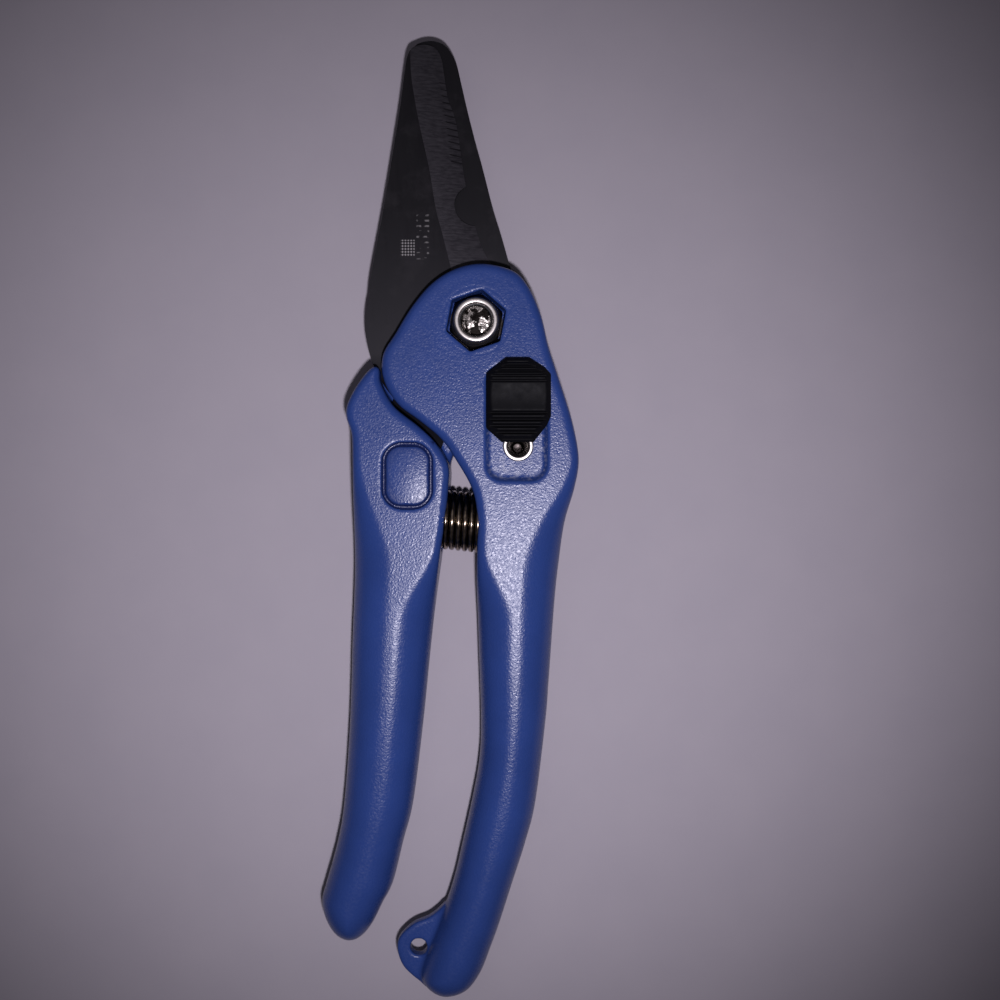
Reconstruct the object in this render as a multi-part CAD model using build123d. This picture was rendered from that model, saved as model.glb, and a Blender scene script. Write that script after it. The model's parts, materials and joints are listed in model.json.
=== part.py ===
from build123d import *
import math
import os

# Floral snips, closed and locked, lying flat. Millimetres.
# Every sub-part is drawn about the pivot axis and then moved by PIVOT, so that the origin is the middle
# of the whole tool's footprint, on the surface it lies on. +Z is up out of the front face, +Y is towards
# the blade tips and +X is to the right.
PIVOT = (5.65, 40.2)

# Heights of the layers, from the rear face upwards
THICK = 16.0                # handles, rear face to front face
BLADE = 2.17                # thickness of each blade
BLADE_GAP = 0.06            # oiled gap between the two blades
REAR_BLADE_Z = 5.8          # rear face of the rear blade
REAR_BLADE_TOP = REAR_BLADE_Z + BLADE
FRONT_BLADE_Z = REAR_BLADE_TOP + BLADE_GAP
FRONT_BLADE_TOP = FRONT_BLADE_Z + BLADE
MID = THICK / 2

# Pivot
BOLT_R = 3.0
RUNNING = 0.05              # radial clearance of what turns or slides
HEAD_R = 12.5               # rear head's round end, about the pivot
HEEL_R = 23.1               # front blade's round heel, about the pivot
INNER_R = 23.3              # nothing under the front head may stand further out than this
WALL_R = 23.6               # the front blade's heel turns inside this one
NOSE_Z = FRONT_BLADE_TOP + 0.2  # above this the rear handle's nose reaches over the heel
NUT_AF = 10.0
POCKET_AF = 11.2
POCKET_TURN = -10.8         # degrees
POCKET_FLOOR = 11.2
WASHER_R = 5.45
WASHER_T = 0.6
NUT_TOP = 17.0
HEX_DROP = 2.4              # from the nut's top down to the top of its hexagon
COLLAR_R = 4.6
COLLAR_HOLE_R = 3.85
BOLT_HEAD_R = 5.5
BOLT_HEAD_Z = (0.5, 3.1)
REAR_FLOOR = 4.0            # seat of the spring washer in the rear head
RING_R = (6.8, 7.1)         # shallow ring moulded around the nut
RING_DEPTH = 0.25

# Lock
LOCK_X = 8.7
LOCK_Y = -13.0              # catch, with the lock on
LOCK_TRAVEL = 6.5
CATCH_R = 2.0
CATCH_SHORT = 0.1           # catch ends this far above the rear blade
FLANGE_R = 3.0
FLANGE_T = 0.9
TANG_R = 18.8               # rear blade's round tang, which the lock's notch is cut in
BUTTON_TOP = 19.0
UPPER_RIBS = 4
LOWER_RIBS = 4
TRACK_FLOOR = 14.4
TRACK_X = (2.2, 14.4)
TRACK_Y = (-32.5, -9.3)
TRACK_CORNER = 3.2
SHOE = (8.6, 5.2)           # the button's foot, which runs in the track
SHOE_Y = -12.6

# Rivets and their cover
RIVET_R = 1.9
RIVET_RIM_R = 3.15
FRONT_RIVET = (8.6, -25.5)
REAR_RIVET = (-14.0, -31.6)
REAR_RIVET_SEAT = 11.4
COVER = (9.0, 12.2)
COVER_GROOVE = (10.5, 13.7)
COVER_CORNER = 3.2
COVER_DEPTH = 1.5
GROOVE_DEPTH = 1.0
RIVET_HEAD = (0.8, 1.8)     # rear head of each rivet, and the depth of its counterbore
RIM_T = 0.9
BORE_FLOOR = 4.0            # closed end of a rivet's bore

# Return spring
SPRING_AT = (-3.3, -41.0)
SPRING_TILT = -6.0          # degrees, down to the right
SPRING_R = 6.3              # outside
WIRE_R = 0.6
SPRING_TURNS = 13
SPRING_LENGTH = 18.4
SOCKET_R = 6.6
PEG_R = 4.9

# Lanyard tab
TAB_T = 3.0
TAB_HOLE = (-12.1, -129.9)
TAB_HOLE_R = 1.75

# Grips, as stations down the handle: y, left edge, right edge, thickness, corner radius over width
FRONT_GRIP = [
    (-31.0, -1.2, 20.7, 16.0, 0.14),
    (-46.0, 0.2, 17.6, 16.0, 0.18),
    (-58.0, 0.0, 16.3, 16.0, 0.30),
    (-70.0, 0.6, 15.4, 16.0, 0.42),
    (-82.0, 0.9, 14.5, 16.0, 0.42),
    (-94.0, 0.1, 13.3, 16.0, 0.42),
    (-106.0, -2.4, 10.8, 16.0, 0.42),
    (-118.0, -5.5, 7.2, 16.0, 0.42),
    (-128.0, -8.9, 3.7, 15.8, 0.42),
    (-134.0, -11.2, 1.4, 14.2, 0.42),
    (-137.4, -11.0, -0.7, 11.0, 0.42),
    (-139.3, -9.4, -3.0, 7.0, 0.42),
    (-140.0, -7.8, -5.2, 3.0, 0.42),
]
REAR_GRIP = [
    (-33.0, -25.3, -5.8, 16.0, 0.14),
    (-45.0, -25.4, -7.1, 16.0, 0.18),
    (-57.0, -25.5, -8.5, 16.0, 0.30),
    (-69.0, -26.1, -9.8, 16.0, 0.42),
    (-81.0, -26.4, -11.0, 16.0, 0.42),
    (-93.0, -27.1, -12.4, 16.0, 0.42),
    (-105.0, -28.5, -14.6, 16.0, 0.42),
    (-115.0, -31.0, -17.1, 15.8, 0.42),
    (-121.0, -32.3, -19.8, 14.4, 0.42),
    (-125.0, -31.0, -21.9, 11.2, 0.42),
    (-127.4, -29.0, -24.0, 7.0, 0.42),
    (-128.3, -27.6, -25.4, 3.0, 0.42),
]


def polar(radius, degrees):
    """A point that far from the pivot, in that direction."""
    angle = math.radians(degrees)
    return (radius * math.cos(angle), radius * math.sin(angle))


def arc(radius, start, end):
    """An arc about the pivot."""
    return ThreePointArc(polar(radius, start), polar(radius, (start + end) / 2), polar(radius, end))


def closed(*edges):
    """A face from edges given in order; gaps between them are closed by straight lines."""
    chain = []
    for edge, after in zip(edges, edges[1:] + edges[:1]):
        chain.append(edge)
        if (edge @ 1 - after @ 0).length > 1e-4:
            chain.append(Line(edge @ 1, after @ 0))
    return make_face(chain)


def prism(face, low, high):
    """A flat shape stood up between two heights."""
    return extrude(Pos(0, 0, low) * face, high - low, dir=(0, 0, 1))


def drum(radius, low, high, at=(0, 0)):
    return Pos(at[0], at[1], low) * extrude(Circle(radius), high - low)


def slot(radius, x, y_ends, low, high):
    """A round-ended slot along Y."""
    middle = (y_ends[0] + y_ends[1]) / 2
    shape = Rot(0, 0, 90) * SlotCenterToCenter(abs(y_ends[1] - y_ends[0]), 2 * radius)
    return Pos(x, middle, low) * extrude(shape, high - low)


def softened(solid, radius, height, curved_only=False):
    """The solid with the edges that lie in the plane at that height rounded."""
    edges = solid.edges().filter_by_position(Axis.Z, height - 0.01, height + 0.01)
    if curved_only:
        edges = edges - edges.filter_by(GeomType.LINE)
    return fillet(edges, radius)


def grip(stations):
    """A rounded bar through the stations."""
    sections = []
    for y, left, right, thick, corner in stations:
        plane = Plane(origin=((left + right) / 2, y, MID), x_dir=(1, 0, 0), z_dir=(0, -1, 0))
        width = right - left
        sections.append(plane * RectangleRounded(width, thick, corner * min(width, thick)))
    return loft(sections)


def spring_place():
    """The spring's middle, with its axis along local Z."""
    return Pos(SPRING_AT[0], SPRING_AT[1], MID) * Rot(0, 0, SPRING_TILT) * Rot(0, 90, 0)


def socket(side):
    """Ring-shaped recess for one end of the spring, with a peg left inside it: side is -1 or 1."""
    deep = 5.6
    ring = Circle(SOCKET_R) - Circle(PEG_R)
    mouth = SPRING_LENGTH / 2 - deep
    recess = extrude(ring, deep + 0.1)
    clear = Pos(0, 0, -4) * extrude(Circle(SOCKET_R), 4)
    return spring_place() * Rot(0, 0 if side > 0 else 180, 0) * Pos(0, 0, mouth) * (recess + clear)


def front_head_outline():
    return closed(
        Spline(
            (-18.9, -12.0), (-19.1, -7.0), (-16.4, -2.3), (-13.0, 3.2), (-8.9, 7.9), (-4.1, 10.8), (1.3, 11.8),
            (7.4, 10.4), (10.6, 7.2), (13.2, 1.5), (14.9, -5.4), (17.3, -12.8), (19.7, -20.6), (21.0, -28.5),
            (20.4, -33.6)
        ),
        Spline((-0.7, -33.6), (-4.1, -28.4), (-7.2, -24.0), (-11.3, -20.5), (-16.4, -16.6), (-18.9, -12.0)),
    )


def front_block_outline():
    """The part of the front handle that fills its whole thickness, beyond the reach of the rear head."""
    return closed(
        arc(INNER_R, -86, -36),
        Spline((19.2, -18.6), (20.9, -28.0), (20.4, -33.6)),
        Line((20.4, -33.6), (-0.7, -33.6)),
    )


def front_tang_outline():
    """Blade, round heel and the tang that runs down inside the handle."""
    return closed(
        Spline((4.4, 10.6), (0.8, 17.2), (-2.2, 28.8), (-4.3, 42.3), (-6.0, 47.5), (-7.4, 55.0)),
        Spline((-7.4, 55.0), (-8.2, 57.4), (-10.4, 58.4), (-13.3, 57.6), (-14.6, 55.0)),
        Spline((-14.6, 55.0), (-16.1, 44.0), (-19.2, 25.0), (-21.9, 10.4), polar(HEEL_R, 167)),
        arc(HEEL_R, 167, 222),
        Spline(polar(HEEL_R, 222), (-8.0, -17.6), (0.0, -22.4), (3.6, -27.0), (5.6, -31.6)),
        Spline((5.6, -31.6), (8.8, -33.2), (12.4, -31.2)),
        Spline((12.4, -31.2), (13.8, -24.0), (13.6, -14.0), (11.6, -4.0), polar(11.4, 10)),
        arc(11.4, 10, 67),
    )


def rear_tang_outline():
    """Blade, round tang and the arm that runs down inside the rear handle."""
    return closed(
        Spline((-3.2, 50.6), (-0.4, 39.0), (3.4, 24.6), (7.15, 12.0)),
        Spline((7.15, 12.0), (9.6, 5.6), (11.4, 0.0), (14.4, -7.0), polar(TANG_R, -36)),
        arc(TANG_R, -36, -96),
        Spline(polar(TANG_R, -96), (-6.4, -23.0), (-9.4, -31.0)),
        Spline((-9.4, -31.0), (-12.6, -34.6), (-14.6, -39.0)),
        Spline((-14.6, -39.0), (-17.2, -40.4), (-19.2, -38.0)),
        Spline((-19.2, -38.0), (-19.6, -29.0), (-18.6, -19.0), (-12.8, -4.0), (-11.0, 6.0), (-11.2, 20.0),
               (-12.0, 36.0), (-14.0, 55.0)),
        Spline((-14.0, 55.0), (-13.6, 58.2), (-10.2, 59.85), (-6.4, 58.6), (-4.4, 55.4), (-3.2, 50.6)),
    )


def rear_head_outline():
    """The rear handle's plate behind the pivot."""
    return closed(
        arc(HEAD_R, 168, 0),
        Spline(polar(HEAD_R, 0), (14.6, -6.0), polar(22.3, -38)),
        arc(22.3, -38, -98),
        Spline(polar(22.3, -98), (-5.4, -28.0), (-6.6, -33.0)),
        Line((-6.6, -33.0), (-24.0, -33.0)),
        Spline((-24.0, -33.0), (-25.0, -22.0), (-22.6, -12.0), (-17.0, -4.0), polar(HEAD_R, 168)),
    )


def rear_shoulder_outline():
    """The rear handle's full-height part, with the nose that hugs the front head."""
    return closed(
        Spline((-19.9, -9.6), (-19.6, -12.4), (-16.9, -17.3), (-12.0, -21.3), (-8.9, -24.2), (-6.7, -27.2),
               (-5.6, -30.0), (-5.7, -33.5)),
        Line((-5.7, -33.5), (-25.3, -33.5)),
        Spline((-25.3, -33.5), (-25.4, -24.0), (-26.5, -19.8), (-26.4, -17.2), (-24.8, -13.8), (-21.8, -9.9)),
        Spline((-21.8, -9.9), (-20.8, -9.2), (-19.9, -9.6)),
    )


def notch_outline():
    """Slot in the rear tang's rim that the lock's catch stands in."""
    half = CATCH_R + 0.3
    top = LOCK_Y + half - 0.2
    return Pos(LOCK_X, top) * (Circle(half) + Pos(0, -5) * Rectangle(2 * half, 10))


def lanyard_tab():
    outline = closed(
        Spline((-7.6, -122.7), (-12.8, -125.0), (-16.2, -128.2), (-16.2, -131.8), (-14.6, -134.8),
               (-11.4, -137.4)),
        Line((-11.4, -137.4), (-5.0, -130.0)),
    )
    return prism(outline, MID - TAB_T / 2, MID + TAB_T / 2)


def bevel_cutter(shoulder, end, face_z, side):
    """A wedge that grinds a blade's face down towards its edge, from a straight shoulder line.
    side is 1 when the metal goes from the front face and -1 when it goes from the rear face."""
    drop = 1.75
    width = 8.6
    run = Vector(*end) - Vector(*shoulder)
    plane = Plane(origin=(*shoulder, face_z), x_dir=Vector(run.Y, -run.X) * -side, z_dir=run)
    profile = Polygon((0, 0), (width, -drop), (width, 4), (0, 4), align=None)
    return extrude(plane * profile, run.length)


def front_handle():
    plate = softened(prism(front_head_outline(), FRONT_BLADE_TOP, THICK), 2.2, THICK)
    block = softened(prism(front_block_outline(), 0, THICK - 2.5), 1.5, 0)
    body = plate + block + grip(FRONT_GRIP) + lanyard_tab()
    body -= prism(front_tang_outline(), FRONT_BLADE_Z, FRONT_BLADE_TOP)
    body -= prism(Circle(INNER_R), -1, FRONT_BLADE_Z + 0.3)
    body -= drum(BOLT_R + RUNNING, 0, THICK + 1)
    pocket = Rot(0, 0, POCKET_TURN) * RegularPolygon(POCKET_AF / 2, 6, major_radius=False)
    body -= prism(pocket, POCKET_FLOOR, THICK + 1)
    body -= prism(Circle(RING_R[1]) - Circle(RING_R[0]), THICK - RING_DEPTH, THICK + 1)
    track = Pos((TRACK_X[0] + TRACK_X[1]) / 2, (TRACK_Y[0] + TRACK_Y[1]) / 2) * RectangleRounded(
        TRACK_X[1] - TRACK_X[0], TRACK_Y[1] - TRACK_Y[0], TRACK_CORNER
    )
    body -= prism(track, TRACK_FLOOR, THICK + 1)
    body -= slot(CATCH_R + RUNNING, LOCK_X, (LOCK_Y, LOCK_Y - LOCK_TRAVEL), FRONT_BLADE_TOP - 1, THICK)
    body -= slot(FLANGE_R + 0.1, LOCK_X, (LOCK_Y, LOCK_Y - LOCK_TRAVEL), FRONT_BLADE_TOP, flange_top() + 0.05)
    body -= rivet_hole(FRONT_RIVET, THICK)
    body -= socket(1)
    body -= drum(TAB_HOLE_R, 0, THICK, TAB_HOLE)
    return body


def rear_handle():
    plate = softened(prism(rear_head_outline(), 0, REAR_BLADE_Z), 1.2, 0, True)
    shoulder = softened(prism(rear_shoulder_outline(), 0, THICK), 0.8, THICK, True)
    body = plate + softened(shoulder, 0.8, 0, True) + grip(REAR_GRIP)
    body -= prism(rear_tang_outline(), REAR_BLADE_Z, REAR_BLADE_TOP)
    body -= prism(Circle(WALL_R), REAR_BLADE_Z, NOSE_Z)
    body -= drum(BOLT_R + RUNNING, -1, THICK)
    body -= drum(BOLT_HEAD_R + 0.5, -1, REAR_FLOOR)
    x, y = REAR_RIVET
    body -= prism(Pos(x, y) * RectangleRounded(*COVER, COVER_CORNER), THICK - COVER_DEPTH, THICK + 1)
    groove = RectangleRounded(*COVER_GROOVE, COVER_CORNER + 0.7)
    body -= prism(Pos(x, y) * groove, THICK - GROOVE_DEPTH, THICK + 1)
    body -= rivet_hole(REAR_RIVET, 12.0)
    body -= drum(RIVET_RIM_R + 0.35, REAR_RIVET_SEAT, THICK - COVER_DEPTH, REAR_RIVET)
    body -= socket(-1)
    return body


def front_blade():
    blade = prism(front_tang_outline(), FRONT_BLADE_Z, FRONT_BLADE_TOP)
    blade -= drum(4.4, 0, THICK, (-0.4, 25.4))
    blade -= drum(BOLT_R + RUNNING, 0, THICK)
    blade -= slot(CATCH_R + RUNNING, LOCK_X, (LOCK_Y, LOCK_Y - LOCK_TRAVEL), 0, THICK)
    blade -= drum(RIVET_R, 0, THICK, FRONT_RIVET)
    blade -= bevel_cutter((-14.6, 61.0), (-5.4, 11.0), FRONT_BLADE_TOP, 1)
    return blade


def rear_blade():
    blade = prism(rear_tang_outline(), REAR_BLADE_Z, REAR_BLADE_TOP)
    blade -= drum(BOLT_R + RUNNING, 0, THICK)
    blade -= prism(notch_outline(), 0, THICK)
    blade -= drum(RIVET_R, 0, THICK, REAR_RIVET)
    blade -= bevel_cutter((-5.4, 62.0), (-2.2, 17.0), REAR_BLADE_Z, -1)
    return blade


def pivot_bolt():
    head = softened(drum(BOLT_HEAD_R, *BOLT_HEAD_Z), 1.2, BOLT_HEAD_Z[0])
    head -= Pos(0, 0, BOLT_HEAD_Z[0] - 1) * extrude(RegularPolygon(2.0, 6, major_radius=False), 2.7)
    shank = drum(BOLT_R, BOLT_HEAD_Z[1], NUT_TOP - 0.5)
    return head + chamfer(shank.edges().sort_by(Axis.Z)[-1:], 0.5)


def pivot_nut():
    turned = Rot(0, 0, POCKET_TURN) * RegularPolygon(NUT_AF / 2, 6, major_radius=False)
    low = POCKET_FLOOR + WASHER_T
    cone = Cone(7.6, 4.6, 6.2, align=(Align.CENTER, Align.CENTER, Align.MIN))
    nut = prism(turned, low, NUT_TOP - HEX_DROP) & Pos(0, 0, low - 1.2) * cone
    nut += softened(drum(COLLAR_R, NUT_TOP - HEX_DROP - 0.2, NUT_TOP), 0.5, NUT_TOP)
    nut -= drum(BOLT_R, 0, NUT_TOP + 1)
    return nut - drum(COLLAR_HOLE_R, NUT_TOP - 1.4, NUT_TOP + 1)


def nut_insert():
    return drum(COLLAR_HOLE_R, NUT_TOP - 1.4, NUT_TOP - 0.2) - drum(BOLT_R, 0, THICK + 2)


def washer(radius, low, high):
    return drum(radius, low, high) - drum(BOLT_R + RUNNING, low - 1, high + 1)


def spring_washer():
    """Split ring between the bolt's head and the rear head."""
    ring = washer(BOLT_HEAD_R, BOLT_HEAD_Z[1], REAR_FLOOR - 0.02)
    return ring - Pos(4.5, 0, REAR_FLOOR) * Rot(0, 0, 20) * Box(4, 0.8, 4)


def rivet_hole(at, top):
    """Hole for a tubular rivet, with a counterbore for its head in the rear face."""
    return drum(RIVET_R, -1, top, at) + drum(RIVET_RIM_R + 0.35, -1, RIVET_HEAD[1], at)


def rivet(at, seat):
    """A tubular rivet whose rim is rolled over on its seat."""
    rim = softened(drum(RIVET_RIM_R, seat, seat + RIM_T, at), 0.4, seat + RIM_T)
    body = drum(RIVET_R, RIVET_HEAD[1], seat, at) + drum(RIVET_RIM_R, *RIVET_HEAD, at) + rim
    return body - drum(RIVET_R - 0.6, BORE_FLOOR, seat + 2, at)


def flange_top():
    return FRONT_BLADE_TOP + 0.05 + FLANGE_T


def lock_catch():
    """Steel stud under the button: its flange keeps the button on the head."""
    pin = drum(CATCH_R, REAR_BLADE_TOP + CATCH_SHORT, BUTTON_TOP - 1.6, (LOCK_X, LOCK_Y))
    return pin + drum(FLANGE_R, FRONT_BLADE_TOP + 0.05, flange_top(), (LOCK_X, LOCK_Y))


def lock_button():
    low = THICK + 0.05
    outline = Polyline(
        (2.1, -11.0), (2.1, -22.0), (5.2, -24.8), (11.7, -24.8), (14.4, -21.4), (15.2, -19.6),
        (15.2, -11.2), (13.9, -9.8), (10.8, -7.8), (6.1, -7.8), close=True
    )
    block = Pos(0, 0, low) * extrude(make_face(outline), BUTTON_TOP - low)
    button = chamfer(block.faces().sort_by(Axis.Z)[-1].edges(), 1.2)
    for index in range(UPPER_RIBS):
        button -= rib_groove(-9.0 - index * 0.95, 0.45)
    for index in range(LOWER_RIBS):
        button -= rib_groove(-18.9 - index * 1.26, 0.55)
    button += prism(Pos(LOCK_X, SHOE_Y) * RectangleRounded(*SHOE, 1.0), TRACK_FLOOR + 0.05, low)
    return button - drum(CATCH_R, 0, BUTTON_TOP - 1.6, (LOCK_X, LOCK_Y))


def rib_groove(y, width):
    """One groove across the button's top; the ribs are what is left between them."""
    return Pos(LOCK_X, y, BUTTON_TOP) * Box(20, width, 0.9)


def rivet_cover():
    x, y = REAR_RIVET
    plug = prism(Pos(x, y) * RectangleRounded(*COVER, COVER_CORNER), THICK - COVER_DEPTH, THICK)
    return softened(plug, 0.9, THICK)


def return_spring():
    pitch = (SPRING_LENGTH - 2 * WIRE_R - 0.2) / SPRING_TURNS
    radius = SPRING_R - WIRE_R
    path = Helix(pitch, pitch * SPRING_TURNS, radius)
    start = Plane(origin=path @ 0, z_dir=path % 0)
    coil = sweep(start * Circle(WIRE_R), path=path, is_frenet=True)
    return spring_place() * Pos(0, 0, -pitch * SPRING_TURNS / 2) * coil


PARTS = {
    "front_handle": front_handle,
    "rear_handle": rear_handle,
    "front_blade": front_blade,
    "rear_blade": rear_blade,
    "pivot_bolt": pivot_bolt,
    "pivot_nut": pivot_nut,
    "nut_insert": nut_insert,
    "nut_washer": lambda: washer(WASHER_R, POCKET_FLOOR, POCKET_FLOOR + WASHER_T),
    "spring_washer": spring_washer,
    "front_rivet": lambda: rivet(FRONT_RIVET, TRACK_FLOOR),
    "rear_rivet": lambda: rivet(REAR_RIVET, REAR_RIVET_SEAT),
    "rivet_cover": rivet_cover,
    "lock_button": lock_button,
    "lock_catch": lock_catch,
    "return_spring": return_spring,
}

os.makedirs("parts", exist_ok=True)
for name, make in PARTS.items():
    export_step(Pos(*PIVOT, 0) * make(), f"parts/{name}.step")
    print(name)
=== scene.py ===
import json
import math

import bmesh
import bpy
import numpy as np
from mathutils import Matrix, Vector


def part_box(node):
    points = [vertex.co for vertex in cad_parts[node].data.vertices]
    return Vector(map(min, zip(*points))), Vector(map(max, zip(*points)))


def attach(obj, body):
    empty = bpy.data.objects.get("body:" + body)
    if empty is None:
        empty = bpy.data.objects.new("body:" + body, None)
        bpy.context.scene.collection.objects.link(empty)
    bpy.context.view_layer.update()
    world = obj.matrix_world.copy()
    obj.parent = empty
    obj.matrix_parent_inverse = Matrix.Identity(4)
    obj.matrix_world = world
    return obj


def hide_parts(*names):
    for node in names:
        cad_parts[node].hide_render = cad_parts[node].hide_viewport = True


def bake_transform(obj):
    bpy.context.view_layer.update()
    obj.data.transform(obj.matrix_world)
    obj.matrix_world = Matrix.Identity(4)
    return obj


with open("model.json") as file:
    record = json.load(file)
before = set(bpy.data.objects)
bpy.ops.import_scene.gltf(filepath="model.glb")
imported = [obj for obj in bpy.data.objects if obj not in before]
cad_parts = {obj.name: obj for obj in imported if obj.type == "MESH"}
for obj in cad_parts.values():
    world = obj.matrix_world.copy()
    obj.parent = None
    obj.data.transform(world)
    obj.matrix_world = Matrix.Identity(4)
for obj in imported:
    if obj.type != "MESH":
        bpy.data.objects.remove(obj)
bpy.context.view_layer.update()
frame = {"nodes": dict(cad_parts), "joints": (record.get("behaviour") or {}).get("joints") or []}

# Everything below is drawn in millimetres about the pivot axis, with heights from the table, as the parts
# themselves are, and is moved to the pivot's place when a mesh is made.
MM = 0.001
PIVOT = Vector(next(j for j in frame["joints"] if j["name"] == "pivot")["pos_m"]) * Vector((1, 1, 0))


def top_of(node):
    """Height of a part's highest point, in millimetres."""
    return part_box(node)[1][2] / MM


def bottom_of(node):
    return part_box(node)[0][2] / MM


THICK = 16.0
MID = THICK / 2
FRONT_STEEL = (bottom_of("front_blade"), top_of("front_blade"))
REAR_STEEL = (bottom_of("rear_blade"), top_of("rear_blade"))
INNER_R = 23.3              # the rear head turns inside this circle
WALL_R = 23.6               # the front blade's heel turns inside this one
NOSE_Z = FRONT_STEEL[1] + 0.2
HEEL_R = 23.1
NUT_AF = 10.0
POCKET_AF = 11.2
POCKET_TURN = math.radians(-10.8)
POCKET_FLOOR = bottom_of("nut_washer")
LOCK = (8.7, -13.0)
LOCK_TRAVEL = 6.5
SLOT_R = 2.05
BUTTON_LOW = THICK + 0.05
TRACK_FLOOR = 14.4
TRACK_MIDDLE = (8.3, -20.9)
TRACK_SIZE = (12.2, 23.2)
TRACK_CORNER = 3.2
SHOE_Y = -12.6              # the button's shoe, which slides in the track
SHOE = (8.6, 5.2)
FRONT_RIVET = (8.6, -25.5)
REAR_RIVET = (-14.0, -31.6)
RIVET_R = 1.88
RIVET_HEAD_R = 3.15
RIVET_HEAD_TOP = 1.8        # the rivets' rear heads lie in counterbores of this depth
COVER = (9.0, 12.2)
COVER_CORNER = 3.2
GROOVE = (10.5, 13.7)
GROOVE_CORNER = 4.2
SPRING_AT = (-3.3, -41.0)
SPRING_TILT = math.radians(-6.0)
COIL_R = 5.68
WIRE_R = 0.6
GRIND_DROP = 1.75           # what a bevel takes off the steel's thickness at the edge
BOLT_HOLE_R = 3.05
RIVET_HOLE_R = 1.9
TAB_HOLE = (-12.1, -129.9)
GRIP_RISE = 7.8             # the grips are rounded over nearly half their height
FRONT_WIDTHS = [(-134, 12.0), (-118, 12.4), (-94, 13.0), (-70, 14.6), (-58, 16.0), (-46, 17.2)]
REAR_WIDTHS = [(-122, 12.0), (-110, 13.4), (-93, 14.4), (-69, 16.0), (-57, 16.8), (-45, 18.0)]


# ---------------------------------------------------------------- outlines

def smooth(points, per=10, closed=False):
    """Points along a Catmull-Rom curve through the given ones."""
    given = np.array(points, float)
    if closed:
        given = np.vstack([given[-1:], given, given[:2]])
    else:
        given = np.vstack([2 * given[0] - given[1], given, 2 * given[-1] - given[-2]])
    t = np.linspace(0, 1, per, endpoint=False)[:, None]
    spans = []
    for a, b, c, d in zip(given, given[1:], given[2:], given[3:]):
        spans.append(0.5 * (2 * b + (c - a) * t + (2 * a - 5 * b + 4 * c - d) * t ** 2
                            + (3 * b - a - 3 * c + d) * t ** 3))
    if not closed:
        spans.append(given[-2:-1])
    return np.vstack(spans)


def arc(radius, start, end, count=32, middle=(0, 0)):
    """Points on a circle, from one angle to another, in degrees."""
    angles = np.radians(np.linspace(start, end, count))
    return np.stack([middle[0] + radius * np.cos(angles), middle[1] + radius * np.sin(angles)], 1)


def polar(radius, degrees):
    return tuple(arc(radius, degrees, degrees, 1)[0])


def outline(*runs):
    """One closed outline from runs of points, without the doubled points where they meet."""
    points = np.vstack([np.array(r, float) for r in runs])
    apart = np.linalg.norm(points - np.roll(points, 1, 0), axis=1) > 1e-4
    return points[apart]


FRONT_HANDLE = outline(
    smooth([(-18.9, -12.0), (-19.1, -7.0), (-16.4, -2.3), (-13.0, 3.2), (-8.9, 7.9), (-4.1, 10.8),
            (1.3, 11.8), (7.4, 10.4), (10.6, 7.2), (13.2, 1.5), (14.9, -5.4), (17.3, -12.8), (19.7, -20.6),
            (21.0, -28.0),
            (20.2, -34.0), (18.3, -41.0), (17.2, -49.2), (16.3, -57.6), (15.1, -74.0), (14.4, -82.8),
            (12.3, -99.6), (10.2, -108.0), (7.5, -116.4), (4.8, -124.8), (3.1, -129.5), (0.9, -135.0),
            (-2.0, -138.7), (-6.2, -140.0), (-9.6, -138.8), (-11.5, -136.0), (-10.6, -131.6), (-7.9, -125.0),
            (-4.9, -116.4), (-2.9, -108.0), (-0.9, -99.0), (0.5, -91.2), (0.9, -82.8), (0.4, -66.0),
            (0.05, -55.0), (0.2, -46.0), (0.3, -40.8), (-0.7, -34.6), (-4.1, -28.4), (-7.2, -24.0),
            (-11.3, -20.5), (-16.1, -16.8)], closed=True),
)
REAR_HANDLE = outline(
    smooth([(-19.8, -9.9), (-19.5, -12.6), (-16.9, -17.3), (-12.0, -21.3), (-8.9, -24.2), (-6.7, -27.2),
            (-5.6, -30.0), (-5.7, -34.0), (-6.4, -40.8), (-7.6, -49.2), (-9.5, -66.0), (-11.2, -82.8),
            (-13.3, -99.6), (-15.4, -108.0), (-17.5, -116.4), (-19.6, -120.6), (-21.7, -124.8),
            (-24.0, -127.5), (-26.6, -128.3), (-29.4, -127.0), (-31.5, -123.8), (-32.3, -120.0),
            (-31.4, -116.4), (-29.1, -108.0), (-27.7, -99.6), (-26.5, -82.8), (-26.0, -66.0), (-25.5, -52.0),
            (-25.4, -38.0), (-25.3, -28.0), (-25.5, -23.0), (-26.5, -19.8), (-26.4, -17.2), (-24.8, -13.8),
            (-22.5, -10.6), (-20.9, -9.3)], closed=True),
)
REAR_HEAD = outline(
    arc(12.5, 168, 0),
    smooth([polar(12.5, 0), (14.6, -6.0), polar(22.3, -38)]),
    arc(22.3, -38, -98),
    smooth([polar(22.3, -98), (-5.4, -28.0), (-6.6, -33.0)]),
    smooth([(-24.0, -33.0), (-25.0, -22.0), (-22.6, -12.0), (-17.0, -4.0), polar(12.5, 168)]),
)
TAB = outline(
    smooth([(-6.9, -121.4), (-9.8, -123.7), (-13.2, -125.2), (-16.0, -127.8), (-16.6, -130.3),
            (-15.6, -133.6), (-13.4, -136.0), (-10.6, -138.0)]),
    [(-4.0, -130.0)],
)
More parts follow.
